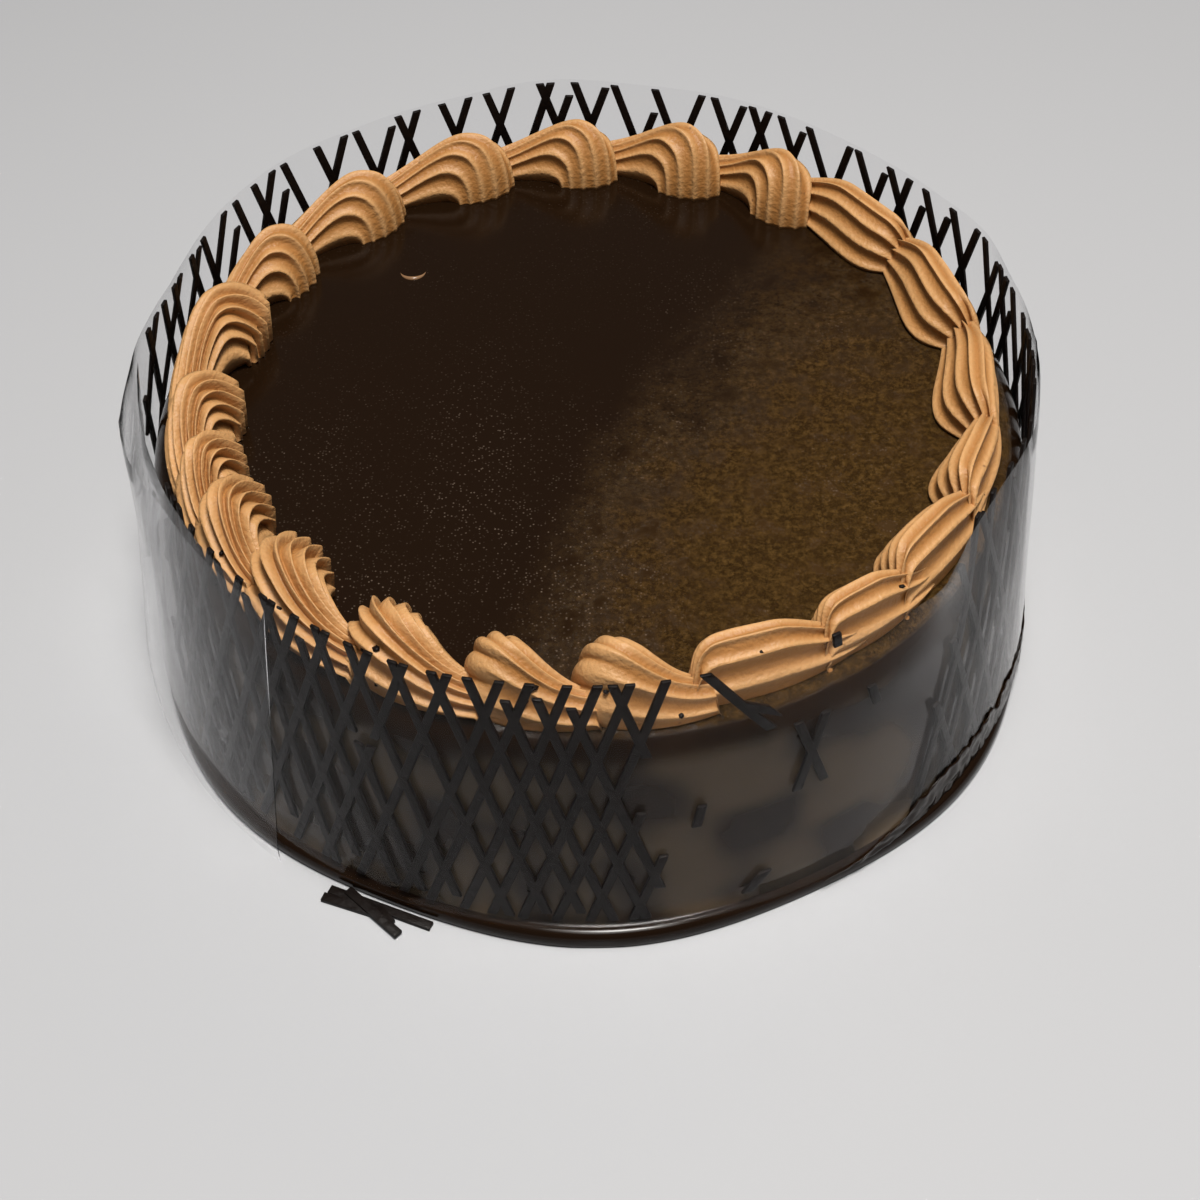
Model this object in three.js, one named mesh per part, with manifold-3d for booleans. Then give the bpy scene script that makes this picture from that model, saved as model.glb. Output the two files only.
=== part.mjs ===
// A round cake under dark chocolate glaze. A ring of piped buttercream shells stands on its top
// edge, a clear film collar goes round its side, and a net of thin dark chocolate strips, broken
// in places, lies against the inside of the film.
// Millimetres, +Z up. Turns are degrees counter-clockwise from +X, seen from above, and are counted
// on past 540 where the film overlaps its own beginning.
import * as THREE from 'three';
import { mergeVertices } from 'three/addons/utils/BufferGeometryUtils.js';
import Module from 'manifold-3d';

const wasm = await Module();
wasm.setup();

// Glazed cake
const cakeHeight = 58;
const cakeFootRadius = 102.2;
const cakeShoulderRadius = 98.2;
const cakeEdgeRound = 8;
const cakeSides = 72;
const cakeCurveSteps = 2;
const beadHeight = 4.4;
const beadRadius = 105;
const beadSwell = 1;
const beadWaveCount = 7;
const beadWaveDepth = 1.1;
const beadWaveTurn = 271;

// Clear film collar: a strip wound a little more than once round the cake
const filmThickness = 0.4;
const filmStartTurn = 182;
const filmEndTurn = 590;
const filmSteps = 84;
const filmRimHeight = 76.5;
const filmRimRadius = 98.3;
const filmFootRadius = 104.2;
const filmFootHeight = 4.6;
const filmFreeHeight = 45;
const overlapTurns = [500, 535];
const overlapRimSpread = 1.2;
const overlapFootSpread = 3.3;
const overlapFootHeight = 0.3;
const overlapDropTurns = [520, 548];
// Above the cake the film sways: turn, half width in degrees, and distance outwards
const filmSways = [
  [200, 30, -0.9],
  [249, 14, 0.8],
  [311, 12, 2.8],
  [329, 17, -2.2],
  [382, 10, 1.2],
  [407, 24, -1.7],
  [455, 15, 2.2],
  [498, 16, 1.4],
  [526, 17, -2.4],
  [556, 15, 2.7],
];

// Net of chocolate strips on the inside of the film
const stripWidth = 2.1;
const stripThickness = 0.8;
const stripLean = 18;
const stripGap = 0.75;
const stripFoot = 6;
const stripTop = 76.3;
const stripMiddle = 41;
const stubShare = 0.38;
const stubClearance = 0.7;
const breakShare = 0.05;
const breakLength = 12;
const wallRadius = 101;
// Each net reaches from one turn to another. Where it is broken off its edge rises with the turn.
const frontNet = { from: 203, to: 277, pitch: 8, jitter: 2.6, brokenUntil: 0, brokenLow: 0, brokenHigh: 0 };
const mainNet = { from: 294, to: 537, pitch: 10.8, jitter: 5, brokenUntil: 319, brokenLow: 20, brokenHigh: 40 };
// Pieces that still cling to the film beside the nets: turn, lowest and highest point, lean
const loneStrips = [
  [299.2, 72.8, 76.3, -6],
  [282.2, 33, 39, 12],
  [304.8, 51, 57, -16],
  [289.4, 8, 13, 40],
];
const loneCross = { turn: 296.2, height: 45.5, reach: 10 };
const loneFork = { turn: 286.8, low: 56.8, high: 76.3, lean: -36, branchLow: 62.5, branchHigh: 66.5 };
const forkBranchReach = [5.4, -3.2];

// A broken piece of net that fell and lies against the foot: turn and radius of both ends of each
// strip, and the height it lies at
const fallenStrips = [
  [[237.4, 107.2], [250.6, 106.3], 0.5],
  [[237.3, 109.5], [244.6, 107.6], 0.5],
  [[239.4, 105.6], [247.6, 110.8], 1],
  [[243.8, 106.6], [246.2, 108.8], 0.8],
];
const fallenThickness = 1;

// Piped buttercream shells. Each runs on from its neck, the place where it starts under the one before.
const shellRingRadius = 86;
const shellNecks = [
  8.6, 29.2, 50, 67, 85, 102.9, 122.8, 142.3, 159, 179.3, 192.9,
  202.6, 216.7, 235.8, 252.9, 267.7, 282.5, 300.4, 314, 332, 348,
];
const shellTail = { tuck: 5, outward: 3.6, halfWidth: 3.4, height: 6.4 };
const shellHead = { along: 8, outward: -2, reachAlong: 9, reachAcross: 7.8, height: 15.8 };
// Petals point from partly forwards, over straight inwards at 0, to partly outwards
const shellPetalTurns = [-48, 125];
// Where the innermost, the middle and the outermost ridge turn towards their petals
const shellSweeps = [[17.5, -1.5], [6, 5], [3.5, 11]];
const shellUsualLength = 26;
const shellLengthShare = 0.5;
const shellSizeVariation = 0.06;
// Shells that are leaner than their length asks for, and how much shorter heads reach in at the back
const shellLean = { 0: 0.9, 1: 0.9, 8: 0.88 };
const shellBackLean = 0.34;
const shellFullShare = 0.6;
const shellFallShare = 0.55;
const shellHeadRoundness = 2.5;
const shellInnerSteepness = 0.65;
// At the left the petals end high above the glaze and the inner side is steep
const shellLeft = { from: 158, to: 225, fadeIn: 24, fadeOut: 26 };
const shellLeftSteepness = 0.35;
const shellLeftPetal = { height: 0.55, wallShare: 0.999 };
// At the right the shells are bent strokes. Each starts at the outer side behind the one before, swings
// in over the cake and ends in a round nose at the inner side. The inner edge swings the most.
const ropeShells = [16, 17, 18, 19, 20, 0, 1];
const ropeTail = { inner: 4.5, outer: 8, tuck: 4, slant: 3, height: 6, fullShare: 0.4 };
const ropeTip = { inner: 2.5, outer: 6, slant: 1.5, fallShare: 0.7 };
const ropeSwing = { inner: 11, outer: 1.2, roundness: 1.6, lead: 5, leadFade: 8 };
const ropeBend = { alongShare: 0.75, swingShare: 0.9 };
const ropeNoseSwingShare = 1.8;
const ropeHeightShare = 0.95;
const ropeNoseRound = 0.8;
const shellRidges = { left: 9, other: 7 };
const shellRidgeCrowding = 0.8;
const shellRidgeDepth = 1.6;
const shellTailRidgeShare = 0.6;
const shellRows = {
  left: [0, 0.35, 0.55, 0.78, 0.985, 1],
  rope: [0, 0.3, 0.6, 0.88, 1],
  other: [0, 0.35, 0.55, 0.75, 0.9, 1],
};
const shellLift = 0.3;
const shellTrimRidges = 4;
const shellTrimGrowth = 2;
const shellTrimDepth = 1;
const slopeStep = 0.02;
const slopeEdge = 0.85;

const glaze = { color: 0x1d110a, roughness: 0.22 };
const buttercream = { color: 0xb5814f, roughness: 0.6 };
const chocolate = { color: 0x1a0f0a, roughness: 0.45 };
const film = { color: 0xe9edf0, roughness: 0.06, transparent: true, opacity: 0.25 };

const { clamp, lerp, smoothstep, degToRad } = THREE.MathUtils;
const cake = new THREE.Group();

function addNode(name, geometry, look) {
  geometry.computeVertexNormals();
  const mesh = new THREE.Mesh(geometry, new THREE.MeshStandardMaterial({ metalness: 0, ...look }));
  mesh.name = name;
  cake.add(mesh);
}

// A repeatable number between 0 and 1, for the unevenness of hand work.
function chance(index, salt) {
  const value = Math.sin(index * 127.1 + salt * 311.7) * 43758.5453;
  return value - Math.floor(value);
}

function around(turn, radius, height) {
  const angle = degToRad(turn);
  return new THREE.Vector3(radius * Math.cos(angle), radius * Math.sin(angle), height);
}

// Keeps positions alone, shares equal corners and drops triangles without area.
function closed(geometry) {
  geometry.deleteAttribute('normal');
  geometry.deleteAttribute('uv');
  const merged = mergeVertices(geometry, 1e-3);
  const corners = merged.index.array;
  const kept = [];
  for (let i = 0; i < corners.length; i += 3) {
    const [a, b, c] = corners.slice(i, i + 3);
    if (a !== b && b !== c && c !== a) {
      kept.push(a, b, c);
    }
  }
  merged.setIndex(kept);
  return merged;
}

function moveCorners(geometry, place) {
  const position = geometry.attributes.position;
  const corner = new THREE.Vector3();
  for (let i = 0; i < position.count; i += 1) {
    corner.fromBufferAttribute(position, i);
    position.setXYZ(i, ...place(corner, i));
  }
  return closed(geometry);
}

function toSolid(geometry) {
  const mesh = new wasm.Mesh({
    numProp: 3,
    vertProperties: new Float32Array(geometry.attributes.position.array),
    triVerts: new Uint32Array(geometry.index.array),
  });
  return new wasm.Manifold(mesh);
}

function toGeometry(solid) {
  const mesh = solid.getMesh();
  const geometry = new THREE.BufferGeometry();
  geometry.setAttribute('position', new THREE.BufferAttribute(mesh.vertProperties, 3));
  geometry.setIndex(new THREE.BufferAttribute(mesh.triVerts, 1));
  return closed(geometry);
}

// The glazed cake: sides that lean in a little, a rounded top edge, and the wavy bead of glaze that
// ran down and set round the foot.
function cakeGeometry() {
  const shoulderHeight = cakeHeight - cakeEdgeRound;
  const profile = new THREE.Path();
  profile.moveTo(0, 0);
  profile.lineTo(beadRadius, 0);
  profile.quadraticCurveTo(beadRadius + beadSwell, beadHeight, cakeFootRadius, beadHeight);
  profile.lineTo(cakeShoulderRadius, shoulderHeight);
  profile.absarc(cakeShoulderRadius - cakeEdgeRound, shoulderHeight, cakeEdgeRound, 0, Math.PI / 2);
  profile.lineTo(0, cakeHeight);
  const lathe = new THREE.LatheGeometry(profile.getPoints(cakeCurveSteps), cakeSides);
  lathe.rotateX(Math.PI / 2);
  return moveCorners(lathe, (corner) => {
    const radius = Math.hypot(corner.x, corner.y);
    if (radius > cakeShoulderRadius && corner.z < beadHeight) {
      const turn = Math.atan2(corner.y, corner.x);
      const wave = Math.cos(beadWaveCount * (turn - degToRad(beadWaveTurn)));
      corner.x *= 1 + beadWaveDepth * wave / radius;
      corner.y *= 1 + beadWaveDepth * wave / radius;
    }
    return corner;
  });
}

// Radius of the film's inner face.
function filmRadius(turn, height) {
  const rise = clamp((height - filmFootHeight) / (filmRimHeight - filmFootHeight), 0, 1);
  const overlap = smoothstep(turn, ...overlapTurns);
  const foot = filmFootRadius + overlap * overlapFootSpread;
  const rim = filmRimRadius + overlap * overlapRimSpread;
  const freedom = clamp((height - filmFreeHeight) / (filmRimHeight - filmFreeHeight), 0, 1);
  let radius = lerp(foot, rim, rise);
  for (const [at, halfWidth, outwards] of filmSways) {
    const offset = Math.min(Math.abs(turn - at) / halfWidth, 1);
    radius += freedom * outwards * (0.5 + 0.5 * Math.cos(Math.PI * offset));
  }
  return radius;
}

// The film is a flat strip with one line of bending along its middle, wound round the cake.
function filmGeometry() {
  const strip = new THREE.BoxGeometry(1, 1, 1, filmSteps, 2, 1);
  return moveCorners(strip, (corner) => {
    const turn = lerp(filmStartTurn, filmEndTurn, corner.x + 0.5);
    const foot = lerp(filmFootHeight, overlapFootHeight, smoothstep(turn, ...overlapDropTurns));
    const height = [foot, filmFreeHeight, filmRimHeight][Math.round(corner.y * 2 + 1)];
    const outer = corner.z > 0 ? filmThickness : 0;
    return around(turn, filmRadius(turn, height) + outer, height);
  });
}

const wallPerTurn = degToRad(wallRadius);
const halfStrip = stripWidth / 2;
const leanSlope = Math.tan(degToRad(stripLean));
const crossingReach = halfStrip / leanSlope;
const clearance = crossingReach + stubClearance;

// Makes one body on the inside of the film from flat four-sided tiles. A tile's outline runs
// counter-clockwise, seen from outside, as [distance along the wall, height]. Its open edges, which
// no other tile shares, get a side face.
function tileGeometry(tiles) {
  const corners = [];
  const onFilm = ([along, height], depth) => {
    const turn = along / wallPerTurn;
    return around(turn, filmRadius(turn, height) - stripGap - depth, height);
  };
  const addQuad = (a, b, c, d) => {
    for (const corner of [a, b, c, a, c, d]) {
      corners.push(...corner);
    }
  };
  for (const { outline, open } of tiles) {
    const outer = outline.map((point) => onFilm(point, 0));
    const inner = outline.map((point) => onFilm(point, stripThickness));
    addQuad(outer[0], outer[1], outer[2], outer[3]);
    addQuad(inner[0], inner[3], inner[2], inner[1]);
    for (const edge of open) {
      const next = (edge + 1) % 4;
      addQuad(outer[edge], inner[edge], inner[next], outer[next]);
    }
  }
  const geometry = new THREE.BufferGeometry();
  geometry.setAttribute('position', new THREE.Float32BufferAttribute(corners, 3));
  return closed(geometry);
}

// A strip's left and right edge at a height. Side +1 moves on with the turn going up, -1 goes back.
function cutAcross({ along, side }, height) {
  const middle = along + side * leanSlope * (height - stripMiddle);
  return { left: [middle - halfStrip, height], right: [middle + halfStrip, height] };
}

// Two strips cross in a diamond with its corners at the bottom, right, top and left.
function diamond({ along, height }) {
  return [
    [along, height - crossingReach],
    [along + halfStrip, height],
    [along, height + crossingReach],
    [along - halfStrip, height],
  ];
}

// The diamond's edges where a rising (1) or a falling (-1) strip leaves it upwards and downwards.
const wayUp = { 1: { edge: 1, left: 2, right: 1 }, [-1]: { edge: 2, left: 3, right: 2 } };
const wayDown = { 1: { edge: 3, left: 3, right: 0 }, [-1]: { edge: 0, left: 0, right: 1 } };

function leave(crossing, way) {
  const corners = diamond(crossing);
  crossing.open.delete(way.edge);
  return { left: corners[way.left], right: corners[way.right] };
}

function tile(bottom, top, open) {
  return { outline: [bottom.right, top.right, top.left, bottom.left], open };
}

// Where a strip ends that does not go on from one crossing to the next. At the rim and the foot only
// one of two strips that would cross there reaches the edge.
function endHeight(strip, crossing, next, limit) {
  const way = Math.sign(limit - crossing.height);
  if (!next) {
    return limit;
  }
  if (Math.abs(next.height - limit) < clearance) {
    return strip.side > 0 ? limit : next.height - way * clearance;
  }
  return crossing.height + way * Math.max(stubShare * Math.abs(next.height - crossing.height), clearance);
}

// The tiles of all strips and of the crossings they share.
function netTiles(strips, crossings) {
  const tiles = [];
  for (const strip of strips) {
    strip.crossings.forEach((crossing, i) => {
      const above = strip.crossings[i + 1];
      const below = strip.crossings[i - 1];
      if (!crossing.kept) {
        return;
      }
      const start = leave(crossing, wayUp[strip.side]);
      if (strip.joined.has(crossing)) {
        tiles.push(tile(start, leave(above, wayDown[strip.side]), [0, 2]));
      } else {
        const end = endHeight(strip, crossing, above, strip.top);
        tiles.push(tile(start, cutAcross(strip, end), [0, 1, 2]));
      }
      if (!below || !strip.joined.has(below)) {
        const end = endHeight(strip, crossing, below, strip.foot);
        tiles.push(tile(cutAcross(strip, end), leave(crossing, wayDown[strip.side]), [0, 2, 3]));
      }
    });
  }
  for (const crossing of crossings.filter(({ kept }) => kept)) {
    tiles.push({ outline: diamond(crossing), open: crossing.open });
  }
  return tiles;
}

function makeStrip(along, side, foot, top) {
  return { along, side, foot, top, crossings: [], joined: new Set() };
}

function makeCrossing(along, height) {
  return { along, height, kept: true, open: new Set([0, 1, 2, 3]), neighbours: [] };
}

// Strips of one slant, unevenly spaced but never touching each other.
function slantedStrips(net, side) {
  const strips = [];
  const margin = net.pitch + leanSlope * (stripTop - stripFoot) / 2;
  let along = net.from * wallPerTurn - margin;
  while (along < net.to * wallPerTurn + margin) {
    strips.push(makeStrip(along, side, stripFoot, stripTop));
    along += net.pitch + net.jitter * (2 * chance(strips.length, net.from + side) - 1);
  }
  return strips;
}

function insideNet(net, { along, height }) {
  const turn = along / wallPerTurn;
  const edge = lerp(net.brokenLow, net.brokenHigh, (turn - net.from) / (net.brokenUntil - net.from));
  const whole = turn > net.brokenUntil || height < edge;
  const clearOfEnds = height > stripFoot + clearance && height < stripTop - clearance;
  return turn > net.from && turn < net.to && whole && clearOfEnds;
}

// Of all the crossings only the largest group that hangs together is kept.
function keepLargestGroup(crossings) {
  let largest = new Set();
  const seen = new Set();
  for (const first of crossings.filter(({ kept }) => kept)) {
    const group = new Set();
    const waiting = seen.has(first) ? [] : [first];
    while (waiting.length > 0) {
      const crossing = waiting.pop();
      if (!group.has(crossing)) {
        group.add(crossing);
        seen.add(crossing);
        waiting.push(...crossing.neighbours);
      }
    }
    largest = group.size > largest.size ? group : largest;
  }
  for (const crossing of crossings) {
    crossing.kept = largest.has(crossing);
  }
}

function netGeometry(net) {
  const rising = slantedStrips(net, 1);
  const falling = slantedStrips(net, -1);
  const strips = [...rising, ...falling];
  const crossings = [];
  for (const a of rising) {
    for (const b of falling) {
      const height = stripMiddle + (b.along - a.along) / (2 * leanSlope);
      if (height > stripFoot - clearance && height < stripTop + clearance) {
        const crossing = makeCrossing((a.along + b.along) / 2, height);
        crossing.kept = insideNet(net, crossing);
        a.crossings.push(crossing);
        b.crossings.push(crossing);
        crossings.push(crossing);
      }
    }
  }
  for (const strip of strips) {
    strip.crossings.sort((lower, upper) => lower.height - upper.height);
    strip.crossings.slice(0, -1).forEach((crossing, i) => {
      const above = strip.crossings[i + 1];
      const long = above.height - crossing.height > breakLength;
      const broken = long && chance(i, Math.round(crossing.along)) < breakShare;
      if (crossing.kept && above.kept && !broken) {
        strip.joined.add(crossing);
        crossing.neighbours.push(above);
        above.neighbours.push(crossing);
      }
    });
  }
  keepLargestGroup(crossings);
  return tileGeometry(netTiles(strips, crossings));
}

// A straight piece of strip with its own lean.
function slantCut({ turn, low, high, lean }, height) {
  const middle = turn * wallPerTurn + Math.tan(degToRad(lean)) * (height - (low + high) / 2);
  const half = halfStrip * Math.cos(degToRad(stripLean)) / Math.cos(degToRad(lean));
  return { left: [middle - half, height], right: [middle + half, height] };
}

function loneStripGeometry([turn, low, high, lean]) {
  const piece = { turn, low, high, lean };
  return tileGeometry([tile(slantCut(piece, low), slantCut(piece, high), [0, 1, 2, 3])]);
}

function loneCrossGeometry({ turn, height, reach }) {
  const along = turn * wallPerTurn;
  const crossing = makeCrossing(along, height);
  const strips = [1, -1].map((side) => {
    const middle = along - side * leanSlope * (height - stripMiddle);
    const strip = makeStrip(middle, side, height - reach, height + reach);
    strip.crossings.push(crossing);
    return strip;
  });
  return tileGeometry(netTiles(strips, [crossing]));
}

// A long strip with the beginning of a second one on its right side.
function loneForkGeometry(fork) {
  const heights = [fork.low, fork.branchLow, fork.branchHigh, fork.high];
  const [low, branchLow, branchHigh, high] = heights.map((height) => slantCut(fork, height));
  const [reachAlong, reachUp] = forkBranchReach;
  const outwards = ([along, height]) => [along + reachAlong, height + reachUp];
  const branchEnds = [outwards(branchLow.right), outwards(branchHigh.right)];
  return tileGeometry([
    tile(low, branchLow, [0, 2, 3]),
    tile(branchLow, branchHigh, [2]),
    tile(branchHigh, high, [0, 1, 2]),
    { outline: [branchLow.right, ...branchEnds, branchHigh.right], open: [0, 1, 2] },
  ]);
}

// Strips that lie flat across each other and hold together.
function fallenGeometry() {
  const sticks = fallenStrips.map(([from, to, height]) => {
    const start = around(...from, height);
    const end = around(...to, height);
    const stick = new THREE.BoxGeometry(start.distanceTo(end), stripWidth, fallenThickness);
    stick.rotateZ(Math.atan2(end.y - start.y, end.x - start.x));
    stick.translate(...start.add(end).multiplyScalar(0.5));
    return toSolid(closed(stick));
  });
  return toGeometry(sticks.reduce((joined, stick) => joined.add(stick)));
}

function shellSizes(index) {
  const neck = shellNecks[index];
  const nextNeck = shellNecks[index + 1] ?? shellNecks[0] + 360;
  const length = degToRad(nextNeck - neck) * shellRingRadius;
  const uneven = 1 + shellSizeVariation * (2 * chance(index, 5) - 1);
  const size = lerp(1, length / shellUsualLength, shellLengthShare) * uneven * (shellLean[index] ?? 1);
  const rope = ropeShells.includes(index);
  const left = leftness(neck) > 0.5;
  return { neck, length, size, height: shellHead.height * uneven, rope, left };
}

function leftness(turn) {
  const { from, to, fadeIn, fadeOut } = shellLeft;
  return smoothstep(turn, from - fadeIn, from) * (1 - smoothstep(turn, to, to + fadeOut));
}

function backness(turn) {
  return Math.max(Math.sin(degToRad(turn)), 0);
}

// The smooth surface of a shell as distance along the ring, outwards and up. The ridge goes from -1
// inside to 1 outside. Each ridge leaves the tail at share 0, which is tucked under the next shell,
// turns inwards over the head and comes down in a petal at share 1.
function curledShell({ neck, length, size, height }, ridge, share) {
  const across = ridge * Math.PI / 2;
  const petal = degToRad(lerp(...shellPetalTurns, (ridge + 1) / 2));
  const [inner, middle, outer] = shellSweeps.map(([x, y]) => new THREE.Vector2(x, y).multiplyScalar(size));
  const tip = new THREE.Vector2(
    (shellHead.along - shellHead.reachAlong * Math.sin(petal)) * size,
    (shellHead.outward - shellHead.reachAcross * Math.cos(petal)) * size,
  );
  tip.y *= tip.y < 0 ? 1 - shellBackLean * backness(neck) : 1;
  const line = new THREE.QuadraticBezierCurve(
    new THREE.Vector2(length + shellTail.tuck, shellTail.outward + shellTail.halfWidth * Math.sin(across)),
    middle.lerp(ridge < 0 ? inner : outer, Math.abs(ridge)),
    tip,
  );
  const fall = Math.max((share - shellFallShare) / (1 - shellFallShare), 0);
  const crown = lerp(shellTail.height, height, smoothstep(share, 0, shellFullShare));
  const steepness = ridge < 0 ? lerp(shellInnerSteepness, shellLeftSteepness, leftness(neck)) : 1;
  const arch = Math.max(Math.cos(across), 0) ** steepness;
  const rounded = Math.sqrt(1 - fall ** shellHeadRoundness);
  const cut = share < shellLeftPetal.wallShare ? lerp(1, shellLeftPetal.height, fall * fall) : 0;
  const { x, y } = line.getPoint(share);
  return new THREE.Vector3(x, y, crown * arch * lerp(rounded, cut, leftness(neck)));
}

// The same surface for a bent stroke of the rope
function wavyShell({ neck, length, size, height }, ridge, share) {
  const outness = (ridge + 1) / 2;
  const bent = outness ** ropeSwing.roundness;
  const reach = lerp(ropeSwing.outer, ropeSwing.inner, (1 - outness) ** ropeSwing.roundness);
  const swing = reach * size * (1 - shellBackLean * backness(neck));
  const tailLane = lerp(ropeTail.inner, ropeTail.outer, bent);
  const tipLane = lerp(ropeTip.inner, ropeTip.outer, outness);
  const slant = ropeTail.slant * outness;
  const line = new THREE.CubicBezierCurve(
    new THREE.Vector2(length + ropeTail.tuck + slant, tailLane),
    new THREE.Vector2(ropeBend.alongShare * length, tailLane - ropeBend.swingShare * swing),
    new THREE.Vector2(0, tipLane - ropeNoseSwingShare * swing),
    new THREE.Vector2(ropeTip.slant * outness, tipLane),
  );
  const lead = ropeSwing.lead * Math.cos(degToRad(neck)) * (1 - outness) * (1 - share ** ropeSwing.leadFade);
  const fall = Math.max((share - ropeTip.fallShare) / (1 - ropeTip.fallShare), 0);
  const full = lerp(ropeTail.height, height * ropeHeightShare, smoothstep(share, 0, ropeTail.fullShare));
  const crown = full * Math.sqrt(1 - fall * fall);
  const { x, y } = line.getPoint(share);
  return new THREE.Vector3(x + lead, y, crown * Math.cos(ridge * Math.PI / 2));
}

function smoothShell(sizes, ridge, share) {
  return sizes.rope ? wavyShell(sizes, ridge, share) : curledShell(sizes, ridge, share);
}

// The surface moved out to a crest or in to a valley. Its foot stays level.
function shellPoint(sizes, ridge, share, relief) {
  const at = (r, s) => smoothShell(sizes, clamp(r, -1, 1), clamp(s, 0, 1));
  const sample = share === 1 ? clamp(ridge, -slopeEdge, slopeEdge) : ridge;
  const across = at(sample + slopeStep, share).sub(at(sample - slopeStep, share));
  const ahead = at(sample, share + slopeStep).sub(at(sample, share - slopeStep));
  const normal = across.cross(ahead);
  const point = at(ridge, share).addScaledVector(normal.normalize(), relief);
  if (share === 1 || Math.abs(ridge) === 1) {
    point.z = 0;
  }
  return point;
}

// A shell is a ball whose columns become crests and valleys in turn. The last column and the last
// pole make the flat base. A smooth shell, grown and set deeper, trims the tail of the one before.
function shellGeometry(index, ridges, ridgeDepth, growth, deeper) {
  const sizes = shellSizes(index);
  const curledShares = sizes.left ? shellRows.left : shellRows.other;
  const shares = sizes.rope ? shellRows.rope : curledShares;
  const ridgeColumns = 2 * ridges;
  const columns = ridgeColumns + 1;
  const rows = shares.length + 1;
  const onRing = ({ x, y, z }) => {
    const turn = sizes.neck + x / degToRad(shellRingRadius);
    const sunk = z > 0 ? 0 : deeper;
    return around(turn, shellRingRadius + y, cakeHeight + shellLift + z - sunk);
  };
  const cornerPoint = (row, column) => {
    const share = shares[row - 1];
    const ridge = lerp(-1, 1, (column / ridgeColumns) ** (1 / shellRidgeCrowding));
    const depth = ridgeDepth * lerp(sizes.rope ? 1 : shellTailRidgeShare, 1, share);
    const rounded = sizes.rope && share === 1;
    const relief = rounded ? ropeNoseRound * (1 - ridge * ridge) : (column % 2 - 0.5) * depth;
    return shellPoint(sizes, ridge, share, relief + growth);
  };
  const rowMiddle = (row) => {
    const middle = new THREE.Vector3();
    for (let column = 0; column <= ridgeColumns; column += 1) {
      middle.addScaledVector(cornerPoint(row, column), 1 / (ridgeColumns + 1));
    }
    return middle;
  };
  const ball = new THREE.SphereGeometry(1, columns, rows);
  return moveCorners(ball, (corner, i) => {
    const column = i % (columns + 1);
    const row = Math.floor(i / (columns + 1));
    if (row === 0) {
      return onRing(rowMiddle(1));
    }
    if (row === rows) {
      return onRing(rowMiddle(rows - 1));
    }
    return onRing(cornerPoint(row, column % columns));
  });
}

// Trimming can leave a scrap on the far side of the next shell.
function largestBody(solid) {
  return solid.decompose().sort((a, b) => b.volume() - a.volume())[0];
}

addNode('cake_body', cakeGeometry(), glaze);
addNode('film_collar', filmGeometry(), film);
addNode('lattice_front', netGeometry(frontNet), chocolate);
addNode('lattice_main', netGeometry(mainNet), chocolate);
const chips = [
  loneForkGeometry(loneFork),
  loneCrossGeometry(loneCross),
  ...loneStrips.map(loneStripGeometry),
];
chips.forEach((chip, i) => addNode(`lattice_chip_${i + 1}`, chip, chocolate));
addNode('lattice_fallen', fallenGeometry(), chocolate);
shellNecks.forEach((neck, i) => {
  const next = (i + 1) % shellNecks.length;
  const ridges = shellSizes(i).left ? shellRidges.left : shellRidges.other;
  const piped = toSolid(shellGeometry(i, ridges, shellRidgeDepth, 0, 0));
  const trim = toSolid(shellGeometry(next, shellTrimRidges, 0, shellTrimGrowth, shellTrimDepth));
  addNode(`shell_${i + 1}`, toGeometry(largestBody(piped.subtract(trim))), buttercream);
});

// The middle of the whole box stands over the origin.
const box = new THREE.Box3().setFromObject(cake);
const middle = box.getCenter(new THREE.Vector3());
for (const mesh of cake.children) {
  mesh.geometry.translate(-middle.x, -middle.y, -box.min.z);
}

export default cake;
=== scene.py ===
# %% [markdown]
# # A glazed chocolate cake in a clear collar
# The cake has a dark glaze, a ring of piped buttercream shells on top, and a clear
# film round its side that holds a chocolate lattice. Every CAD solid is rebuilt here
# with a finer surface and its own finish. The first step loads the CAD model and keeps
# its box, because the finished model has to stay inside that box.

# %% Load the CAD model
import math

import bmesh
import bpy
from mathutils import Matrix, Vector, noise


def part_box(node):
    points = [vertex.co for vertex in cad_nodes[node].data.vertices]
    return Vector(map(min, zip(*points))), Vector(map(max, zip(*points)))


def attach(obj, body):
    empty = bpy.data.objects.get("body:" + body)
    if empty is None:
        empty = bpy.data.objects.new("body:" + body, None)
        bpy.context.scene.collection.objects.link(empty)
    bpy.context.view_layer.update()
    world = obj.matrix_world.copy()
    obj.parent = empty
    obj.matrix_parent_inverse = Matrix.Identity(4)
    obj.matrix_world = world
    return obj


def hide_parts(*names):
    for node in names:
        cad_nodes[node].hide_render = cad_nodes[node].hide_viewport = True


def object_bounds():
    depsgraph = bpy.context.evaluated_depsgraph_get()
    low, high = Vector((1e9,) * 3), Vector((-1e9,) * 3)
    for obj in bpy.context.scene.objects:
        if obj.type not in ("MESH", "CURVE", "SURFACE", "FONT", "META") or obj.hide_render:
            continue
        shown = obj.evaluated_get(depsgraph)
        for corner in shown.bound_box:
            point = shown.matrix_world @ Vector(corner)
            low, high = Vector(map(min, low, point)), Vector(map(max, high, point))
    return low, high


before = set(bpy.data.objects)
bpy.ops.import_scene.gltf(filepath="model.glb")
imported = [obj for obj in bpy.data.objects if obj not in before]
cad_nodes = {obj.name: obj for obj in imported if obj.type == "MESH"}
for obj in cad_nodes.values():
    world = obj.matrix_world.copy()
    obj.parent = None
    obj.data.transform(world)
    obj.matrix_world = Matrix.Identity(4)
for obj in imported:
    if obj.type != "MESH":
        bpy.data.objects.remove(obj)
cad_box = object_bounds()
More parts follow.
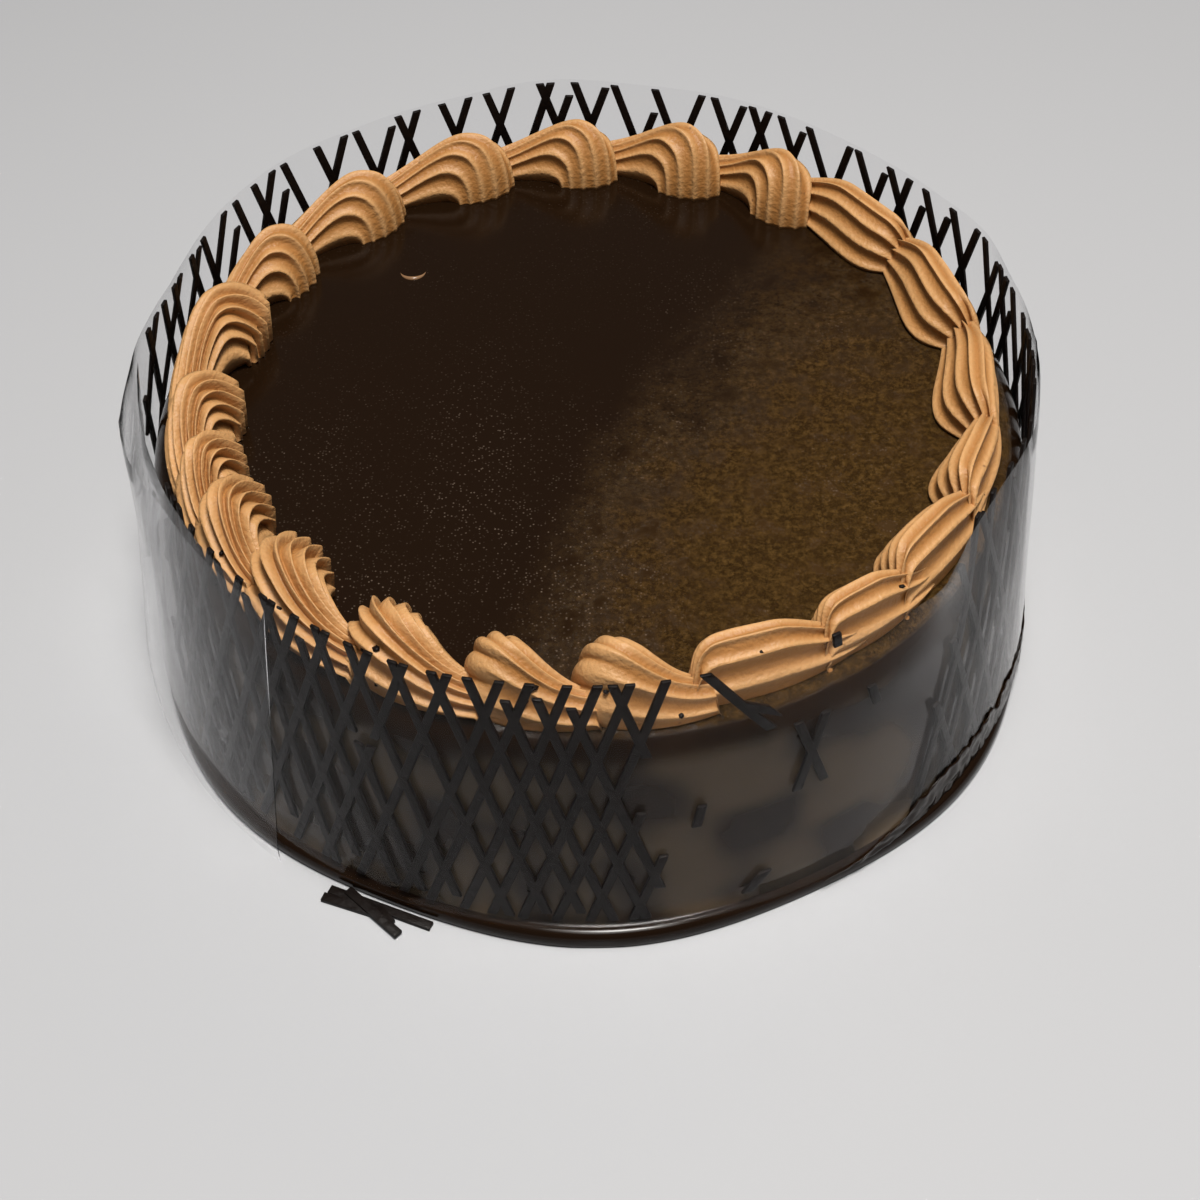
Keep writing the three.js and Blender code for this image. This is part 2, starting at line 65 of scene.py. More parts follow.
print("CAD box in metres:", [tuple(round(v, 4) for v in corner) for corner in cad_box])

# %% [markdown]
# Nearly everything on this cake goes round one upright axis. The flat top is a regular
# polygon, so the mean of its corners is that axis, and the model's own origin, which is
# the middle of its box, lies a little beside it. Sizes are easier to read in millimetres
# and degrees, so one small function turns them into metres in the model's frame. Two more
# are used all through: a straight blend of two values, and an eased step from 0 to 1.

# %% Find the axis
MM = 0.001
HAIR = 0.01
cake_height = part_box("cake_body")[1].z / MM
top_corners = [
    corner.co for corner in cad_nodes["cake_body"].data.vertices
    if corner.co.z > (cake_height - HAIR) * MM
]
axis = sum(top_corners, Vector()) / len(top_corners)
axis.z = 0


def at(turn, radius, height):
    angle = math.radians(turn)
    return axis + Vector((math.cos(angle) * radius, math.sin(angle) * radius, height)) * MM


def turn_of(point):
    return math.degrees(math.atan2(point.y - axis.y, point.x - axis.x)) % 360


def radius_of(point):
    return math.hypot(point.x - axis.x, point.y - axis.y) / MM


def blend(low, high, share):
    return low + (high - low) * share


def ease(value, low, high):
    share = min(max((value - low) / (high - low), 0), 1)
    return share * share * (3 - 2 * share)


print("axis at", tuple(round(v / MM, 3) for v in axis), "mm, cake height", round(cake_height, 2), "mm")

# %% [markdown]
# A finished piece is a mesh object at the origin with its place in its vertices. This
# helper makes the object from a bmesh, shades it smooth, gives it a finish and hides the
# CAD nodes it stands for. A round surface bulges a hair past the flats of its CAD solid, so
# points outside the CAD box are moved onto it. All pieces move as one body.

# %% Turn a bmesh into a piece
def make_piece(name, bm, finish, slot, *nodes):
    for vert in bm.verts:
        for side in range(3):
            vert.co[side] = min(max(vert.co[side], cad_box[0][side]), cad_box[1][side])
    mesh = bpy.data.meshes.new(name)
    bm.to_mesh(mesh)
    bm.free()
    mesh.materials.append(finish)
    mesh.shade_smooth()
    piece = bpy.data.objects.new(name, mesh)
    bpy.context.scene.collection.objects.link(piece)
    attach(piece, "root")
    if nodes:
        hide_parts(*nodes)
    return piece


print("CAD nodes to rebuild:", len(cad_nodes))

# %% [markdown]
# Shader nodes are added by one short helper: it makes the node, sets its options, and
# sets or links its inputs. The finishes of this cake need a few steps again and again, so
# each step has a name: a noise, a range of values stretched to 0 to 1, the product of two
# masks, a mix of two colours, and a number that is read from the points of the mesh.

# %% Helpers for shader nodes
def add_node(tree, kind, inputs=None, **options):
    node = tree.nodes.new(kind)
    for name, value in options.items():
        setattr(node, name, value)
    for name, value in (inputs or {}).items():
        if isinstance(value, bpy.types.NodeSocket):
            tree.links.new(value, node.inputs[name])
        else:
            node.inputs[name].default_value = value
    return node


def place_on(tree):
    return add_node(tree, "ShaderNodeTexCoord").outputs["Object"]


def add_noise(tree, scale, detail, roughness=0.5):
    inputs = {"Vector": place_on(tree), "Scale": scale, "Detail": detail, "Roughness": roughness}
    return add_node(tree, "ShaderNodeTexNoise", inputs).outputs["Fac"]


def stretch(tree, value, low, high):
    inputs = {"Value": value, "From Min": low, "From Max": high}
    return add_node(tree, "ShaderNodeMapRange", inputs).outputs[0]


def product(tree, first, second):
    return add_node(tree, "ShaderNodeMath", {0: first, 1: second}, operation="MULTIPLY").outputs[0]


def mix(tree, share, first, second):
    inputs = {"Factor": share, "A": first, "B": second}
    return add_node(tree, "ShaderNodeMix", inputs, data_type="RGBA").outputs["Result"]


def read_points(tree, name):
    return add_node(tree, "ShaderNodeAttribute", attribute_name=name).outputs["Fac"]


# %% [markdown]
# Two effects are shared, each as a node group with named sockets. Fine grain is a soft
# unevenness too small to model, a noise that tilts the surface. Specks are small round dots
# scattered in space: a Voronoi pattern gives every cell one point, and only some cells keep
# theirs. On the glaze they are burst bubbles, on the buttercream they are painted shade in pits.

# %% Shared effects
def start_group(name, inputs, output, kind):
    tree = bpy.data.node_groups.new(name, "ShaderNodeTree")
    for label, value in inputs.items():
        socket = tree.interface.new_socket(label, in_out="INPUT", socket_type="NodeSocketFloat")
        socket.default_value = value
    tree.interface.new_socket(output, in_out="OUTPUT", socket_type=kind)
    return tree, tree.nodes.new("NodeGroupInput").outputs, tree.nodes.new("NodeGroupOutput").inputs


grain_group, given, result = start_group(
    "fine_grain", {"Scale": 900, "Depth": 0.0001}, "Normal", "NodeSocketVector")
grain = add_noise(grain_group, given["Scale"], 3)
bump = add_node(grain_group, "ShaderNodeBump", {"Height": grain, "Distance": given["Depth"]})
grain_group.links.new(bump.outputs["Normal"], result["Normal"])

speck_group, given, result = start_group(
    "scattered_specks", {"Scale": 500, "Size": 0.2, "Share": 0.3}, "Mask", "NodeSocketFloat")
cells = add_node(speck_group, "ShaderNodeTexVoronoi", {
    "Vector": place_on(speck_group), "Scale": given["Scale"]})
draw = add_node(speck_group, "ShaderNodeSeparateColor", {"Color": cells.outputs["Color"]})
kept = add_node(speck_group, "ShaderNodeMath", {0: draw.outputs[0], 1: given["Share"]}, operation="LESS_THAN")
dot = stretch(speck_group, cells.outputs["Distance"], given["Size"], 0)
speck_group.links.new(product(speck_group, dot, kept.outputs[0]), result["Mask"])
print("shared effects:", grain_group.name, speck_group.name)

# %% [markdown]
# The glaze is poured dark chocolate: nearly black, glossy, with pale burst bubbles that
# gather in patches. A slow noise decides where the patches are. Where the palette knife
# brushed it, a painted warm sheen makes it browner, and a fine noise times a coarse one makes
# uneven grains that tilt the surface and are painted lighter as glints. Where the film presses
# on the side, grease makes it paler. One colour could not show all that, so the mesh carries
# a number for each, painted on its points in the next steps.

# %% Glaze finish
glaze_black = (0.0088, 0.0040, 0.0016, 1)
# A painted warm sheen, where the brushed front right of the top would mirror a warm light.
glaze_painted_sheen = (0.033, 0.0150, 0.0028, 1)
# Painted glints: bright brown flecks where the brushed grains would catch light.
glaze_painted_glints = (0.36, 0.195, 0.055, 1)
glaze_grease = (0.052, 0.036, 0.021, 1)
glaze_bubble_pale = (0.32, 0.24, 0.18, 1)
poured_roughness, brushed_roughness = 0.17, 0.34


def start_finish(name):
    finish = bpy.data.materials.new(name)
    finish.use_nodes = True
    return finish, finish.node_tree, finish.node_tree.nodes["Principled BSDF"]


def add_effect(tree, group, **values):
    node = tree.nodes.new("ShaderNodeGroup")
    node.node_tree = group
    for name, value in values.items():
        node.inputs[name].default_value = value
    return node.outputs[0]


glaze, tree, shader = start_finish("dark_glaze")
brushed_sheen = read_points(tree, "brushed_and_sheen")
patches = stretch(tree, add_noise(tree, 30, 3), 0.38, 0.62)
flecks = stretch(tree, add_noise(tree, 520, 8, 0.9), 0.43, 0.68)
bumps = stretch(tree, add_noise(tree, 170, 3), 0.30, 0.62)
specks = add_effect(tree, speck_group, Scale=1300, Size=0.34, Share=0.6)
foam = product(tree, patches, read_points(tree, "bubbly"))
burst = product(tree, product(tree, specks, foam), flecks)
grain = product(tree, product(tree, flecks, bumps), brushed_sheen)
# The brushed part of the top is mixed towards a painted warm sheen.
colour = mix(tree, brushed_sheen, glaze_black, glaze_painted_sheen)
# The grains are also painted lighter, as painted glints.
colour = mix(tree, grain, colour, glaze_painted_glints)
colour = mix(tree, read_points(tree, "pressed"), colour, glaze_grease)
colour = mix(tree, burst, colour, glaze_bubble_pale)
gloss = add_node(tree, "ShaderNodeMapRange", {
    "Value": brushed_sheen, "To Min": poured_roughness, "To Max": brushed_roughness})
bump = add_node(tree, "ShaderNodeBump", {"Height": grain, "Distance": 0.0008})
tree.links.new(colour, shader.inputs["Base Color"])
tree.links.new(gloss.outputs[0], shader.inputs["Roughness"])
tree.links.new(bump.outputs["Normal"], shader.inputs["Normal"])
shader.inputs["Specular IOR Level"].default_value = 0.14
print("glaze finish:", glaze.name)

# %% [markdown]
# The cake itself is one solid of revolution: a flat top, a rounded edge, a side that
# spreads a little towards the foot, and a bead where the glaze ran down and gathered. A
# bevelled cylinder would come close, but a spin of half the outline makes the spread and
# the bead too. The outline's ends on the axis are merged afterwards.

# %% Cake: spin the outline
cake_foot_radius, cake_shoulder_radius, cake_edge_round = 102.2, 98.2, 8.0
bead_height, bead_radius, bead_swell = 4.4, 105.0, 1.0
top_steps, edge_steps, side_steps, bead_steps = 45, 10, 10, 10
cake_spin_steps = 240


def cake_outline():
    flat = cake_shoulder_radius - cake_edge_round
    for step in range(top_steps):
        yield flat * step / top_steps, cake_height
    for step in range(edge_steps):
        angle = math.radians(90 * step / edge_steps)
        yield (flat + cake_edge_round * math.sin(angle),
               cake_height - cake_edge_round * (1 - math.cos(angle)))
    for step in range(side_steps):
        share = step / side_steps
        yield (blend(cake_shoulder_radius, cake_foot_radius, share),
               blend(cake_height - cake_edge_round, bead_height, share))
    for step in range(bead_steps + 1):
        share = step / bead_steps
        above = (1 - share) ** 2
        bulge = 2 * share * (1 - share)
        yield (cake_foot_radius * above + (bead_radius + bead_swell) * bulge + bead_radius * share ** 2,
               bead_height * (above + bulge))
    yield 0, 0


bm = bmesh.new()
outline = [bm.verts.new(at(0, radius, height)) for radius, height in cake_outline()]
edges = [bm.edges.new(pair) for pair in zip(outline, outline[1:])]
bmesh.ops.spin(bm, geom=outline + edges, cent=axis, axis=(0, 0, 1), angle=math.tau,
               steps=cake_spin_steps, use_merge=True)
bmesh.ops.remove_doubles(bm, verts=bm.verts, dist=1e-6)
bmesh.ops.recalc_face_normals(bm, faces=bm.faces)
print("cake:", len(bm.verts), "vertices")

# %% [markdown]
# The spin is too perfect. On the real cake the palette knife left shallow waves on top, and
# at the front right it brushed the glaze thin. Sculpting them by hand would do as well, but
# noise gives the same waves each run; its third number only picks another pattern. One
# function says how much a spot of the top was brushed, from 0 to 1, which also places the
# painted warm sheen; the other says how far the top dips there, in millimetres. The waves
# are strongest where it was brushed.

# %% Cake: where the knife went
brushed_turns = (252, 312, 318, 420)
brushed_radii = (4, 72)
brushed_edge_swing, brushed_edge_size = 12, 14
top_wave, top_sink = 0.16, 0.1
calm_share, calm_length, calm_width = 0.6, 30, 22
stroke_length, stroke_width = 9, 3.2


def wobble(first, second, pattern):
    return noise.noise(Vector((first, second, pattern)))


def brushed_share(spot):
    turn = (math.degrees(math.atan2(spot.y, spot.x)) - 180) % 360 + 180
    start, full, fade, end = brushed_turns
    edge = brushed_edge_swing * wobble(spot.x / brushed_edge_size, spot.y / brushed_edge_size, 1.5)
    inside = ease(math.hypot(spot.x, spot.y) + edge, *brushed_radii)
    return inside * ease(turn, start, full) * (1 - ease(turn, fade, end))


def top_dip(spot, thin_here):
    calm = wobble(spot.x / calm_length, spot.y / calm_width, 3)
    strokes = wobble(spot.x / stroke_length, spot.y / stroke_width, 7)
    return top_wave * (calm_share * calm + strokes * thin_here) - top_sink


print("the front right is brushed thin:", round(brushed_share(Vector((40, -45, 0))), 2))

# %% [markdown]
# Now the points are moved, all but the two on the axis. The bead swings in and out, as the
# glaze gathered unevenly, and the top gets its waves. The points also get three numbers for
# the finish: how much the glaze was brushed, which also places the painted warm sheen, how
# bubbly the top is, most of all at the front left, and where the film presses on the side.
# Points carry such numbers better than an image would, because they need no unwrapping.

# %% Cake: make it uneven
bead_waves, bead_wave_depth, bead_wave_turn = 7, 1.1, 271
top_band, wavy_radii = 1, (96, 84)
bubbly_range = (0.15, 0.9)
bubbly_slant, bubbly_reach = 0.3, (45, -25)
pressed_patch_turn, pressed_patch_height = 9, 14
pressed_range, pressed_depths = (-0.35, 0.25), (3, 9)

brushed_sheen_layer, pressed_layer, bubbly_layer = [
    bm.verts.layers.float.new(name) for name in ("brushed_and_sheen", "pressed", "bubbly")]
for vert in bm.verts:
    turn = turn_of(vert.co)
    radius = radius_of(vert.co)
    height = vert.co.z / MM
    if radius < HAIR:
        continue
    if height < bead_height - HAIR:
        swing = bead_wave_depth * math.cos(math.radians(bead_waves * (turn - bead_wave_turn)))
        vert.co = at(turn, radius + swing, height)
    elif height > cake_height - top_band:
        spot = (vert.co - axis) / MM
        vert[brushed_sheen_layer] = brushed_share(spot)
        vert[bubbly_layer] = blend(*bubbly_range, ease(spot.y - bubbly_slant * spot.x, *bubbly_reach))
        vert.co.z += top_dip(spot, vert[brushed_sheen_layer]) * MM * ease(radius, *wavy_radii)
    else:
        patch = wobble(turn / pressed_patch_turn, height / pressed_patch_height, 4.5)
        vert[pressed_layer] = ease(patch, *pressed_range) * ease(cake_height - height, *pressed_depths)

cake = make_piece("cake", bm, glaze, "glaze", "cake_body")
print("cake rests at", round(min(v.co.z for v in cake.data.vertices) / MM, 3), "mm")

# %% [markdown]
# One large bubble burst at the back left of the top and left a thin pale crescent. A torus
# would close into a whole ring, so a small circle is spun through part of a turn. Then it
# is drawn in towards its middle line, so that it is thick halfway and pointed at its ends.

# %% Bubble mark
bubble_place, bubble_sink = (-41.6, 49.2), 0.15
bubble_radius, bubble_thickness, bubble_point = 3.1, 0.55, 0.05
bubble_start, bubble_end = 195, 350
bubble_steps = 20

bubble_finish, tree, shader = start_finish("burst_bubble")
shader.inputs["Base Color"].default_value = (0.20, 0.11, 0.055, 1)
shader.inputs["Roughness"].default_value = 0.25

bm = bmesh.new()
bubble_centre = axis + Vector((*bubble_place, cake_height - bubble_sink)) * MM
first_turn = Matrix.Rotation(math.radians(bubble_start), 4, "Z")
to_start = first_turn @ Matrix.Translation((bubble_radius * MM, 0, 0))
upright = Matrix.Rotation(math.pi / 2, 4, "X")
ring = bmesh.ops.create_circle(bm, segments=8, radius=bubble_thickness * MM,
                               matrix=Matrix.Translation(bubble_centre) @ to_start @ upright)
bmesh.ops.spin(bm, geom=ring["verts"] + bm.edges[:], cent=bubble_centre, axis=(0, 0, 1),
               angle=math.radians(bubble_end - bubble_start), steps=bubble_steps)
for vert in bm.verts:
    arm = vert.co - bubble_centre
    turn = math.degrees(math.atan2(arm.y, arm.x)) % 360
    middle = bubble_centre + Vector((arm.x, arm.y, 0)).normalized() * bubble_radius * MM
    share = min(max((turn - bubble_start) / (bubble_end - bubble_start), 0), 1)
    vert.co = middle + (vert.co - middle) * max(math.sin(math.pi * share), bubble_point)
bmesh.ops.holes_fill(bm, edges=bm.edges, sides=0)
bmesh.ops.recalc_face_normals(bm, faces=bm.faces)
bubble = make_piece("burst_bubble", bm, bubble_finish, "glaze")
print("bubble mark:", len(bubble.data.polygons), "faces")

# %% [markdown]
# The shells are chocolate buttercream from a star nozzle, satin and a little airy. Their
# colour varies slowly, and they have fine pits where air bubbles broke, drawn as dots of
# painted shade. Valleys get painted shade, darker and warmer than crests, so the points
# carry how deep they lie. Some light goes into the fat and comes out again, so a little
# subsurface scattering softens the shade.

# %% Buttercream finish
buttercream_deep, buttercream_light = (0.40, 0.210, 0.078, 1), (0.54, 0.295, 0.122, 1)
# Both browns on this line are painted shade: one for the valleys, one for the pits.
valley_painted_shade, pit_painted_shade = (0.29, 0.112, 0.020, 1), (0.10, 0.045, 0.02, 1)
valley_shade_from, valley_shade_share = 0.45, 0.75

buttercream, tree, shader = start_finish("chocolate_buttercream")
colour = mix(tree, add_noise(tree, 60, 4), buttercream_deep, buttercream_light)
# Painted shade in the valleys: the deeper a point lies, the more it turns dark warm brown.
valley_shade = add_node(tree, "ShaderNodeMapRange", {
    "Value": read_points(tree, "hollow"), "From Min": valley_shade_from, "To Max": valley_shade_share})
colour = mix(tree, valley_shade.outputs[0], colour, valley_painted_shade)
# Pits are dots of painted shade.
pit_shade = add_effect(tree, speck_group, Scale=330, Size=0.16, Share=0.12)
colour = mix(tree, pit_shade, colour, pit_painted_shade)
tree.links.new(colour, shader.inputs["Base Color"])
tree.links.new(add_effect(tree, grain_group, Scale=900, Depth=0.00035), shader.inputs["Normal"])
shader.inputs["Roughness"].default_value = 0.5
shader.inputs["Specular IOR Level"].default_value = 0.35
shader.inputs["Subsurface Weight"].default_value = 0.06
shader.inputs["Subsurface Radius"].default_value = (1.0, 0.5, 0.25)
shader.inputs["Subsurface Scale"].default_value = 0.001
print("buttercream finish:", buttercream.name)

# %% [markdown]
# Before any shell is made, the ring is laid out. The necks are where the shells start, in
# degrees round the ring, and each shell runs from its neck to the next. No two are quite
# alike: three are slim, and a small repeatable draw makes each a little larger or smaller.
# The shells at the back reach in less far over the cake, and those at the left have deeper
# folds, so two functions say how far to the back or to the left a shell lies.

# %% Shells: lay out the ring
ring_radius = 86.0
shell_necks = [8.6, 29.2, 50, 67, 85, 102.9, 122.8, 142.3, 159, 179.3, 192.9,
               202.6, 216.7, 235.8, 252.9, 267.7, 282.5, 300.4, 314, 332, 348]
usual_length, length_effect = 26.0, 0.5
head_height = 15.8
shell_unevenness = 0.06
slim_shells = {0: 0.9, 1: 0.9, 8: 0.88}
left_from, left_to, left_fade_in, left_fade_out = 158, 225, 24, 26


def chance(index, salt):
    value = math.sin(index * 127.1 + salt * 311.7) * 43758.5453
    return value - math.floor(value)


def shell_measures(index):
    neck = shell_necks[index]
    length = math.radians((shell_necks[(index + 1) % len(shell_necks)] - neck) % 360) * ring_radius
    uneven = 1 + shell_unevenness * (2 * chance(index, 5) - 1)
    size = blend(1, length / usual_length, length_effect) * uneven * slim_shells.get(index, 1)
    return neck, length, size, head_height * uneven


def backness(turn):
    return max(math.sin(math.radians(turn)), 0)


def leftness(turn):
    risen = ease(turn, left_from - left_fade_in, left_from)
    return risen * (1 - ease(turn, left_to, left_to + left_fade_out))


shell_lengths = [shell_measures(index)[1] for index in range(len(shell_necks))]
print("shells from", round(min(shell_lengths), 1), "to", round(max(shell_lengths), 1), "mm long")

# %% [markdown]
# A shell is piped in one stroke: the nozzle swells a head that curls in over the cake,
# then pulls away anticlockwise into a tail, and the next head covers that tail. Its
# ridges fan out from the tail and curl over the head. A stretched ball has no such fan, so
# the form is a family of curves instead, which all start in the tail and end round the
# head's foot. The function gives a point of that form: how far along the ring, outwards
# and up, for a ridge from -1 inside to 1 outside and a share from 0 at the tail to 1 at
# the head's foot.

# %% Shells: the curled form
tail_tuck, tail_outward, tail_half_width, tail_height = 5.0, 3.6, 3.4, 6.4
head_along, head_outward, head_reach_along, head_reach_across = 8.0, -2.0, 9.0, 7.8
petal_turns = (-48, 125)
sweep_inner, sweep_middle, sweep_outer = Vector((17.5, -1.5)), Vector((6, 5)), Vector((3.5, 11))
back_pull = 0.34
rise_share, fall_share, foot_share = 0.6, 0.55, 0.999
head_roundness = 2.5
inner_steepness, left_inner_steepness = 0.65, 0.35
left_tip_height = 0.55


def curled_form(measures, ridge, share):
    neck, length, size, height = measures
    across = ridge * math.pi / 2
    petal = math.radians(blend(*petal_turns, (ridge + 1) / 2))
    tail = Vector((length + tail_tuck, tail_outward + tail_half_width * math.sin(across)))
    sweep = sweep_middle.lerp(sweep_inner if ridge < 0 else sweep_outer, abs(ridge)) * size
    tip = Vector((head_along - head_reach_along * math.sin(petal),
                  head_outward - head_reach_across * math.cos(petal))) * size
    tip.y *= 1 - back_pull * backness(neck) if tip.y < 0 else 1
    plan = tail * (1 - share) ** 2 + sweep * 2 * share * (1 - share) + tip * share ** 2
    left = leftness(neck)
    steepness = blend(inner_steepness, left_inner_steepness, left) if ridge < 0 else 1
    arch = max(math.cos(across), 0) ** steepness
    crown = blend(tail_height, height, ease(share, 0, rise_share))
    fall = max((share - fall_share) / (1 - fall_share), 0)
    rounded = math.sqrt(max(1 - fall ** head_roundness, 0))
    cut = blend(1, left_tip_height, fall * fall) if share < foot_share else 0
    return Vector((plan.x, plan.y, crown * arch * blend(rounded, cut, left)))


back_shell = 5
crown_spot = curled_form(shell_measures(back_shell), 0, rise_share)
print("a head at the back is about", round(crown_spot.z, 1), "mm high")

# %% [markdown]
# On the right of the ring the bag was hardly lifted between the shells. There each one is
# a bent stroke of a wavy rope: it starts at the outer side, swings in over the cake and
# ends in a round nose. Each tail runs on inside the next nose, so the rope has no gaps. A
# cubic Bezier curve gives each ridge's path, because its two middle points set the swing
# of the bend and of the nose. The inner edge swings the most, the outer one hardly at all.

# %% Shells: the wavy form
rope_shells = {16, 17, 18, 19, 20, 0, 1}
rope_tail_lanes, rope_bend_lanes, rope_tip_lanes = (2.0, 5.2), (4.5, 9.0), (2.5, 6.0)
rope_swing_outer, rope_swing_inner, rope_swing_bend = 1.2, 11.0, 1.6
rope_bend_along, rope_bend_swing, rope_nose_swing = 0.75, 0.9, 1.8
rope_lead, rope_lead_fade = 5.0, 20
rope_slant, rope_tip_slant, rope_tuck = 3.0, 1.5, 8.5
rope_tail_height, rope_head_share = 6.5, 0.95
rope_rise_share, rope_fall_share = 0.4, 0.7


def in_rope(measures):
    return shell_necks.index(measures[0]) in rope_shells


def wavy_form(measures, ridge, share):
    neck, length, size, height = measures
    outness = (ridge + 1) / 2
    rest = 1 - share
    tail_lane = blend(*rope_tail_lanes, outness ** rope_swing_bend)
    bend_lane = blend(*rope_bend_lanes, outness ** rope_swing_bend)
    tip_lane = blend(*rope_tip_lanes, outness)
    swing = blend(rope_swing_outer, rope_swing_inner, (1 - outness) ** rope_swing_bend) * size
    swing *= 1 - back_pull * backness(neck)
    tail = Vector((length + rope_tuck + rope_slant * outness, tail_lane))
    bend = Vector((rope_bend_along * length, bend_lane - rope_bend_swing * swing))
    nose = Vector((0, tip_lane - rope_nose_swing * swing))
    tip = Vector((rope_tip_slant * outness, tip_lane))
    plan = tail * rest ** 3 + bend * 3 * rest * rest * share
    plan += nose * 3 * rest * share * share + tip * share ** 3
    plan.x += rope_lead * math.cos(math.radians(neck)) * (1 - outness) * (1 - share ** rope_lead_fade)
    crown = blend(rope_tail_height, height * rope_head_share, ease(share, 0, rope_rise_share))
    fall = max((share - rope_fall_share) / (1 - rope_fall_share), 0)
    crown *= math.sqrt(max(1 - fall * fall, 0))
    return Vector((plan.x, plan.y, crown * max(math.cos(ridge * math.pi / 2), 0)))


print("wavy shells:", len(rope_shells), "of", len(shell_necks))

# %% [markdown]
# A star nozzle leaves sharp crests and wide hollow valleys. A plain sine would be too
# soft, so a crest rises steeply on one side and falls slowly on the other. The heads at
# the front end in soft round lobes instead. Every ridge wanders and swells a little along
# the ring. These functions give the height of a crest, from 0 to 1, and how far a point of
# the form is pushed out, in millimetres.

# %% Shells: the ridges
left_depth, other_depth = 2.9, 1.5
left_crest, other_crest = 0.26, 0.42
left_sharpness, other_sharpness = 1.6, 2.6
left_tip_share, other_tip_share = 1.0, 0.35
ridge_crowding = 0.8
valley_level = 0.35
wander_reach, wander_across, wander_turn = 0.04, 2.2, 7
swell_reach, swell_across, swell_turn = 0.25, 3.1, 5
tail_ridge_share, head_ridge_share = 0.6, 1.1
front_range = (0.75, 0.95)
lobes_begin, lobes_full = 0.4, 0.75
tips_begin = 0.75


def turn_along(measures, share):
    return measures[0] + math.degrees(blend(measures[1] + tail_tuck, 0, share) / ring_radius)


def ridge_wander(measures, ridge, share):
    drift = wobble(ridge * wander_across, turn_along(measures, share) / wander_turn, 0.5)
    return min(max(ridge + wander_reach * drift * (1 - ridge * ridge), -1), 1)


def crest_height(measures, ridge, share, count):
    left = leftness(measures[0])
    place = ((ridge + 1) / 2) ** ridge_crowding * count % 1
    top = blend(other_crest, left_crest, left)
    away = (top - place) / top if place < top else (place - top) / (1 - top)
    crest = (1 - away) ** blend(other_sharpness, left_sharpness, left)
    front = 0 if in_rope(measures) else ease(-math.sin(math.radians(measures[0])), *front_range)
    lobe = 1 - (2 * place - 1) ** 2
    return blend(crest, lobe, front * ease(share, lobes_begin, lobes_full))


def ridge_push(measures, ridge, share, count):
    left = leftness(measures[0])
    swell = 1 + swell_reach * wobble(ridge * swell_across, turn_along(measures, share) / swell_turn, 5.3)
    tip_share = blend(1, blend(other_tip_share, left_tip_share, left), ease(share, tips_begin, 1))
    reach = 1 if in_rope(measures) else blend(tail_ridge_share, head_ridge_share, share) * tip_share
    depth = blend(other_depth, left_depth, left) * swell * reach
    return (crest_height(measures, ridge, share, count) - valley_level) * depth


print("ridges at the left stand about", round((1 - valley_level) * left_depth, 1), "mm proud")

# %% [markdown]
# Now the shells are piped. Each starts as a flat grid: one way runs across the ridges, the
# other from tail to head. The grid is laid on the form, then pushed in or out along its
# normals to make the ridges, which keeps them upright on every slope. At last it is wrapped
# round the ring, sunk a hair into the glaze, and its open foot is closed. The wrap mirrors
# the grid and turns its faces inside out, so the normals are recalculated at the end.

# %% Shells: pipe the ring
left_ridges, other_ridges = 9, 7
columns_per_ridge = 12
shell_rows = 56
shell_sink = 0.3


def shell_form(measures, ridge, share):
    return (wavy_form if in_rope(measures) else curled_form)(measures, ridge, share)


def share_at(step):
    if step < 0.5:
        return fall_share * step * 2
    return blend(fall_share, 1, math.sin((step - 0.5) * math.pi))


def on_ring(measures, spot, sink=0):
    turn = measures[0] + math.degrees(spot[0] / ring_radius)
    return at(turn, ring_radius + spot[1], cake_height - sink + spot[2])


def pipe_shell(index):
    measures = shell_measures(index)
    count = left_ridges if leftness(measures[0]) > 0.5 else other_ridges
    bm = bmesh.new()
    bmesh.ops.create_grid(bm, x_segments=count * columns_per_ridge, y_segments=shell_rows, size=1)
    hollow = bm.verts.layers.float.new("hollow")
    spots = [(vert.co.x, share_at((vert.co.y + 1) / 2)) for vert in bm.verts]
    for vert, (ridge, share) in zip(bm.verts, spots):
        vert.co = shell_form(measures, ridge_wander(measures, ridge, share), share)
    bm.normal_update()
    if sum(face.normal.z for face in bm.faces) < 0:
        bmesh.ops.reverse_faces(bm, faces=bm.faces)
        bm.normal_update()
    for vert, (ridge, share) in zip(bm.verts, spots):
        # How deep each point lies, which sets the painted shade in the valleys.
        vert[hollow] = 1 - crest_height(measures, ridge, share, count)
        vert.co += vert.normal * ridge_push(measures, ridge, share, count)
        vert.co.z = 0 if vert.is_boundary else max(vert.co.z, 0)
    for vert in bm.verts:
        vert.co = on_ring(measures, vert.co, shell_sink)
    bmesh.ops.holes_fill(bm, edges=bm.edges, sides=0)
    bmesh.ops.recalc_face_normals(bm, faces=bm.faces)
    return make_piece(f"piped_shell_{index + 1:02d}", bm, buttercream, "buttercream", f"shell_{index + 1}")


shells = [pipe_shell(index) for index in range(len(shell_necks))]
print("shells:", len(shells), "pieces of", len(shells[0].data.polygons), "faces")

# %% [markdown]
# The lattice is plain dark chocolate piped on the film in crossing strips, almost black
# and only half glossy. One flat black would look like plastic, so a noise lightens it a
# little in places, and the shared fine grain keeps its shine dull.

# %% Chocolate finish
chocolate_black, chocolate_bloom = (0.0025, 0.0015, 0.0012, 1), (0.008, 0.005, 0.004, 1)

